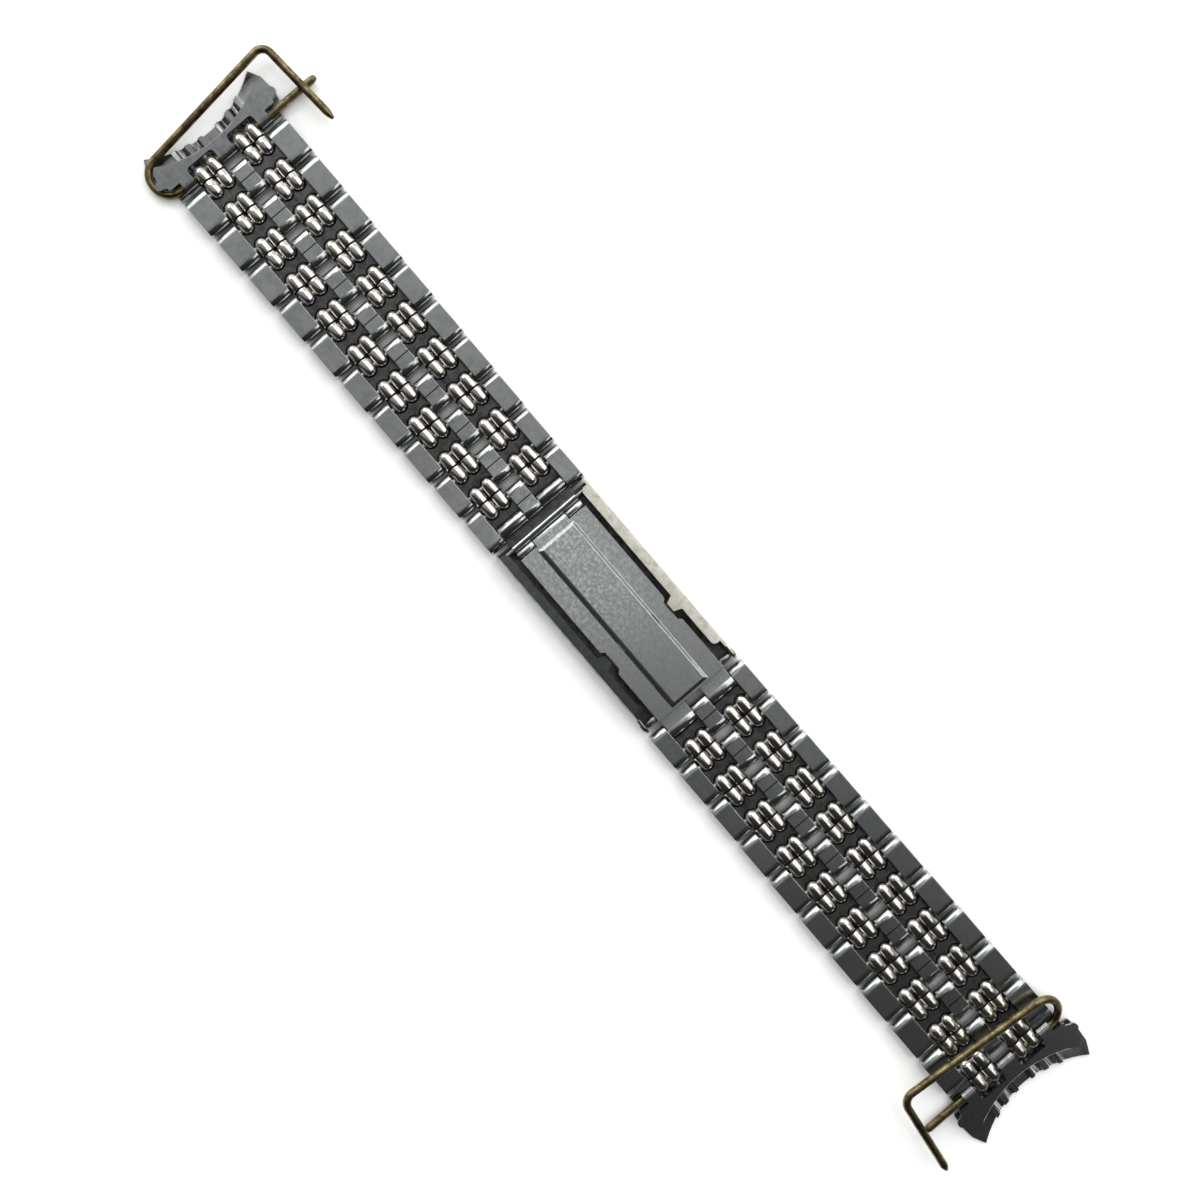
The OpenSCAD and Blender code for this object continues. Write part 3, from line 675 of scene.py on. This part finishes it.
claspParts = {
    # CAD node: piece, materials, softened edge in mm, material slot
    "clasp_cover": ("claspCover", ["coverSteel", "paintedShadeSteel", "darkSideSteel"], 0.09,
                    "satin_steel"),
    "cover_hinge_pin": ("coverHingePin", ["pinSteel"], 0.05, "worn_steel"),
    "adjuster_spring_bar": ("springBar", ["pinSteel"], 0.05, "worn_steel"),
    "adjuster_link": ("adjusterLink", ["satinSteel", "paintedShadeSteel"], 0.05, "satin_steel"),
    "middle_blade": ("middleBlade", ["bladeSteel"], 0.04, "satin_steel"),
    "blade_hinge_pin": ("bladeHingePin", ["pinSteel"], 0.04, "worn_steel"),
    "inner_blade": ("innerBlade", ["bladeSteel"], 0.07, "satin_steel"),
}
endParts = {
    "back_plate": ("BackPlate", ["plateSteel"], 0, "satin_steel"),
    "front_shell": ("FrontShell", ["shellSteel"], 0, "satin_steel"),
}
nodeBody = {n: b for b, ns in frame["record"]["behaviour"]["bodies"].items() for n in ns}

cover = {
    "top": 2.75,
    "half": 6.85,
    # painted shade: between the walls, under the flanges and over the outer face, the cover's
    # inside is painted dark
    "inside": 6.6,
    "underFlange": 2.4,
    "outside": 0.1,
    "droop": 0.28,           # the flanges slope down to their folded outer edge
    "fold": 0.3,             # radius of that fold
    "darkSideFrom": 4.5,      # the flange and the wall on the -Y side are darker
}


def darkPlate(piece):
    # painted shade and dirt: the adjuster's plate lies deep between its lugs, with dirt on it, and
    # gets the darker steel
    paintFaces(piece, lambda face, at: face.normal.z > 0.99)


def foldFlanges(piece):
    # painted shade: the cover's inside gets the darker steel of slot 1
    paintFaces(piece, lambda face, at: cover["outside"] < at.z < cover["underFlange"]
               and abs(at.y) < cover["inside"])
    # the flange and the wall on the -Y side get the darker steel of slot 2
    paintFaces(piece, lambda face, at: at.y < -cover["darkSideFrom"] and at.z > cover["outside"]
               and (at.z > cover["underFlange"] or at.y < -cover["inside"]), 2)
    # the flanges' outer corners are lowered a little, then rounded as sheet folds
    outer = (cover["half"] - 0.01) * mm
    low = (cover["top"] - cover["droop"]) * mm
    pick(piece, "verts", lambda v: v.co.z > (cover["top"] - 0.01) * mm and abs(v.co.y) > outer)
    bpy.ops.transform.translate(value=(0, 0, -cover["droop"] * mm))
    pick(piece, "edges", lambda e: abs(middle(e).z - low) < 0.02 * mm
         and abs(middle(e).y) > outer)
    bpy.ops.mesh.bevel(offset=cover["fold"] * mm, segments=5, profile=0.5, affect="EDGES",
                       clamp_overlap=True)


blade = {
    "top": 1.8,
    "flatten": 0.17,         # the stamped panel rises on a low bevel
    "worn": 0.3,             # its long edge at -Y is worn round
    "wornLength": 10,        # no other edge of the panel's top at -Y is as long
}


def lowerPanel(piece):
    pick(piece, "verts", lambda v: v.co.z > (blade["top"] + 0.02) * mm)
    bpy.ops.transform.translate(value=(0, 0, -blade["flatten"] * mm))
    pick(piece, "edges", lambda e: e.calc_length() > blade["wornLength"] * mm
         and min(v.co.z for v in e.verts) > (blade["top"] + 0.02) * mm
         and max(v.co.y for v in e.verts) < 0)
    bpy.ops.mesh.bevel(offset=blade["worn"] * mm, segments=4, profile=0.5, affect="EDGES",
                       clamp_overlap=True)


shaping = {"clasp_cover": foldFlanges, "inner_blade": lowerPanel, "adjuster_link": darkPlate}
for node, (name, materials, soft, slot) in claspParts.items():
    piece = stampedCopy(node, name, materials, soft, shaping.get(node))
    setOff(piece, nodeBody[node], node)
print("clasp ready")

backPlate = {
    "reach": 1.8,            # from the bar's axis to the middle of the curved edge
    "curveHalf": 7,
    "rim": 0.12,
}


def rubRim(piece):
    # the plate's curved edge is rubbed round on the wrist side and shines
    pick(piece, "edges", lambda e: isSharp(e, 60)
         and min(v.co.z for v in e.verts) > (band["thickness"] - 0.01) * mm
         and min(abs(v.co.x) for v in e.verts) > (band["endAxis"] + backPlate["reach"] - 0.01) * mm
         and max(abs(v.co.y) for v in e.verts) < backPlate["curveHalf"] * mm)
    bpy.ops.mesh.bevel(offset=backPlate["rim"] * mm, segments=2, profile=0.5, affect="EDGES",
                       clamp_overlap=False)


for side in ("a", "b"):
    for part, (name, materials, soft, slot) in endParts.items():
        node = f"end_{side}_{part}"
        shape = rubRim if part == "back_plate" else None
        piece = stampedCopy(node, f"end{side.upper()}{name}", materials, soft, shape)
        setOff(piece, nodeBody[node], node)
print("end pieces ready")


# keeper wires: soft brass wire bent by hand in place of the watch's spring bars
keeperWire = {
    "radius": 0.475,
    "around": 6,             # bevel resolution of the round section
    "bendStep": 9,           # degrees between two points of a bend
    # corners, bend radii, lengths of the two tapered tips, and how thin the tips end
    "a": {
        "points": [(0, 13.5, 0.9), (0, -9.09, 0.9), (4.6, -9.09, 0.9), (6.4, 11.2, 1.95),
                   (-5.4, 11.85, 1.95)],
        "bends": [2.25, 2.25, 1.3],
        "tips": [(0.6, 0.5), (1.2, 0.4)],
    },
}
# wire B hooks back over the band, stands off it and crosses its own tip
hookWire = {
    "tip": -12.4,            # the bar's free tip, across the band
    "turnBack": 8.74,        # where the hook leaves the bar's line
    "hairpin": 2.2,
    "runGap": 0.1,           # the two runs stand this much more than two hairpin radii apart
    "bend": 1.4,
    "lift": 1.1,             # height of the run over the band
    "lean": 1.9,             # the run leans towards the clasp by this
    "short": 0.6,            # and ends this much short of the bar's tip
    "climb": 0.5,
    "leg": 10.1,             # length of the free leg along the band
    "legDrift": 0.9,
    "legDrop": 1.2,
}


def hookPoints():
    # the hook climbs from the bar's height to its run over the band
    pinZ = band["pinZ"]
    runZ = band["thickness"] + hookWire["lift"] + keeperWire["radius"]
    apart = 2 * hookWire["hairpin"] + hookWire["runGap"]
    runX = -math.sqrt(apart ** 2 - (runZ - pinZ) ** 2)
    bendX = runX - hookWire["lean"]
    return [(0, hookWire["tip"], pinZ),
            (0, hookWire["turnBack"], pinZ),
            (runX, hookWire["turnBack"], runZ),
            (bendX, hookWire["tip"] + hookWire["short"], runZ + hookWire["climb"]),
            (bendX + hookWire["leg"], hookWire["tip"] - hookWire["legDrift"],
             runZ - hookWire["legDrop"])]


keeperWire["b"] = {
    "points": hookPoints(),
    "bends": [hookWire["hairpin"], hookWire["hairpin"], hookWire["bend"]],
    "tips": [(0.6, 0.5), (0.8, 0.4)],
}


def wirePath(corners, bends):
    # the corners joined by straight runs and round bends that touch them
    points = [Vector(c) for c in corners]
    path = [points[0]]
    for k in range(1, len(points) - 1):
        way = (points[k] - points[k - 1]).normalized()
        out = (points[k + 1] - points[k]).normalized()
        turn = way.angle(out)
        side = (out - out.dot(way) * way).normalized()
        lead = bends[k - 1] * math.tan(turn / 2)
        centre = points[k] - lead * way + bends[k - 1] * side
        steps = max(3, round(math.degrees(turn) / keeperWire["bendStep"]))
        for s in range(steps + 1):
            a = turn * s / steps
            path.append(centre + bends[k - 1] * (math.sin(a) * way - math.cos(a) * side))
    path.append(points[-1])
    return path


def makeKeeperWire(side):
    wire = keeperWire[side]
    path = wirePath(wire["points"], wire["bends"])
    # short steps at both ends carry the taper
    first, last = wire["tips"]
    thin = [(0, first[1]), (first[0] * 0.35, 0.8), (first[0], 1)]
    thinEnd = [(last[0], 1), (last[0] * 0.5, 0.82), (0, last[1])]
    startWay = (path[1] - path[0]).normalized()
    endWay = (path[-2] - path[-1]).normalized()
    spots = [(path[0] + startWay * d, r) for d, r in thin]
    spots += [(p, 1) for p in path[1:-1]]
    spots += [(path[-1] + endWay * d, r) for d, r in thinEnd]
    flip = -1 if side == "a" else 1
    curve = bpy.data.curves.new("wire", "CURVE")
    curve.dimensions = "3D"
    curve.bevel_depth = keeperWire["radius"] * mm
    curve.bevel_resolution = keeperWire["around"]
    curve.use_fill_caps = True
    spline = curve.splines.new("POLY")
    spline.points.add(len(spots) - 1)
    for point, (place, size) in zip(spline.points, spots):
        point.co = (flip * (place.x + band["endAxis"]) * mm, place.y * mm, place.z * mm, 1)
        point.radius = size
    piece = bpy.data.objects.new(f"keeperWire{side.upper()}", curve)
    bpy.context.scene.collection.objects.link(piece)
    activate(piece)
    bpy.ops.object.convert(target="MESH")
    piece = bpy.context.object
    paint(piece, "tarnishedBrass")
    startEdit(piece)
    bpy.ops.mesh.select_all(action="SELECT")
    bpy.ops.mesh.remove_doubles(threshold=0.0005 * mm)
    bpy.ops.mesh.normals_make_consistent(inside=False)
    endEdit()
    smooth(piece, 50)
    return piece


for side in ("a", "b"):
    piece = makeKeeperWire(side)
    node = f"end_{side}_keeper_wire"
    setOff(piece, nodeBody[node], node)
print("keeper wires ready")


# floor, light and world
studio = {
    "floor": "#f4f4f2",
    "floorGlow": 0.5,
    # the sky's level by how far a direction leans to the top of the picture, from -1 to 1
    "sky": [(-1, 0.02), (-0.35, 0.045), (-0.2, 0.07), (-0.13, 0.17), (-0.06, 0.22), (0.03, 0.4),
            (0.1, 0.3), (0.18, 0.44), (0.3, 0.4), (0.65, 0.9), (1, 1.2)],
    # lamp: place in mm in the band's own X, Y and Z, length and width in mm, radiance
    "lamps": {
        "longStripNear": ((0, 108, 330), (520, 40), 2.6),
        "longStripMiddle": ((0, 165, 320), (520, 12), 5.0),
        "longStripFar": ((0, 240, 300), (520, 26), 4.0),
        "sideSoftbox": ((-40, 360, 260), (420, 160), 1.8),
        "endStrip": ((-320, 20, 300), (300, 80), 3.2),
        "endSoftbox": ((-460, 60, 200), (260, 180), 1.6),
        "claspWindow": ((-20, 0, 300), (14, 60), 1.1),
    },
}


def makeFloor():
    deselectAll()
    bpy.ops.mesh.primitive_plane_add(size=4, location=(0, 0, -0.02 * mm))
    floor = bpy.context.object
    floor.name = "floor"
    material, tree = newMaterial("paleFloor")
    path = addNode(tree, "ShaderNodeLightPath")
    seen = addNode(tree, "ShaderNodeMath", {"operation": "MAXIMUM"}, None,
                   {0: path.outputs["Is Camera Ray"], 1: path.outputs["Is Glossy Ray"]})
    seenToo = addNode(tree, "ShaderNodeMath", {"operation": "MAXIMUM"}, None,
                      {0: seen.outputs["Value"], 1: path.outputs["Is Transmission Ray"]})
    # painted shade on the floor: the glow dies out under and close beside the band, so no light
    # comes up through its gaps
    shade = addNode(tree, "ShaderNodeAmbientOcclusion", {"samples": 8}, {"Distance": 5 * mm})
    reach = addNode(tree, "ShaderNodeMath", {"operation": "MULTIPLY"}, None,
                    {0: seenToo.outputs["Value"], 1: shade.outputs["AO"]})
    glow = addNode(tree, "ShaderNodeMath", {"operation": "MULTIPLY"}, {1: studio["floorGlow"]},
                   {0: reach.outputs["Value"]})
    # and the paper is painted dark where the band stands over it, a painted shadow that the gaps
    # between links show
    under = rampNode(tree, shade.outputs["AO"],
                     [(0.22, hexColour("#161616")), (0.5, hexColour(studio["floor"]))])
    paper = addNode(tree, "ShaderNodeBsdfDiffuse", links={"Color": under.outputs["Color"]})
    light = addNode(tree, "ShaderNodeEmission", None, {"Color": hexColour("#ffffff")},
                    {"Strength": glow.outputs["Value"]})
    total = addNode(tree, "ShaderNodeAddShader")
    tree.links.new(paper.outputs["BSDF"], total.inputs[0])
    tree.links.new(light.outputs["Emission"], total.inputs[1])
    out = addNode(tree, "ShaderNodeOutputMaterial")
    tree.links.new(total.outputs["Shader"], out.inputs["Surface"])
    floor.data.materials.append(material)


def makeLamp(name, place, size, radiance):
    data = bpy.data.lights.new(name, "AREA")
    data.shape = "RECTANGLE"
    data.size, data.size_y = (s * mm for s in size)
    data.energy = radiance * math.pi * data.size * data.size_y
    lamp = bpy.data.objects.new(name, data)
    bpy.context.scene.collection.objects.link(lamp)
    lamp.location = Vector(place) * mm
    lamp.rotation_euler = (-lamp.location).to_track_quat("-Z", "Y").to_euler()


def makeWorld():
    world = bpy.data.worlds.new("studioWorld")
    bpy.context.scene.world = world
    world.use_nodes = True
    tree = world.node_tree
    tree.nodes.clear()
    coords = addNode(tree, "ShaderNodeTexCoord")
    lean = addNode(tree, "ShaderNodeVectorMath", {"operation": "DOT_PRODUCT"}, None,
                   {0: coords.outputs["Generated"]})
    lean.inputs[1].default_value = pictureUp
    share = addNode(tree, "ShaderNodeMapRange", None, {"From Min": -1, "From Max": 1},
                    {"Value": lean.outputs["Value"]})
    sky = rampNode(tree, share.outputs["Result"],
                   [((place + 1) / 2, (grey, grey, grey, 1)) for place, grey in studio["sky"]])
    path = addNode(tree, "ShaderNodeLightPath")
    level = addNode(tree, "ShaderNodeMath", {"operation": "MAXIMUM"}, None,
                    {0: sky.outputs["Color"], 1: path.outputs["Is Camera Ray"]})
    ground = addNode(tree, "ShaderNodeBackground", None, {"Color": hexColour("#fbfcfd")},
                     {"Strength": level.outputs["Value"]})
    out = addNode(tree, "ShaderNodeOutputWorld")
    tree.links.new(ground.outputs["Background"], out.inputs["Surface"])


makeFloor()
for name, (place, size, radiance) in studio["lamps"].items():
    makeLamp(name, place, size, radiance)
makeWorld()
bpy.context.scene.view_settings.view_transform = "Standard"
print("studio ready")
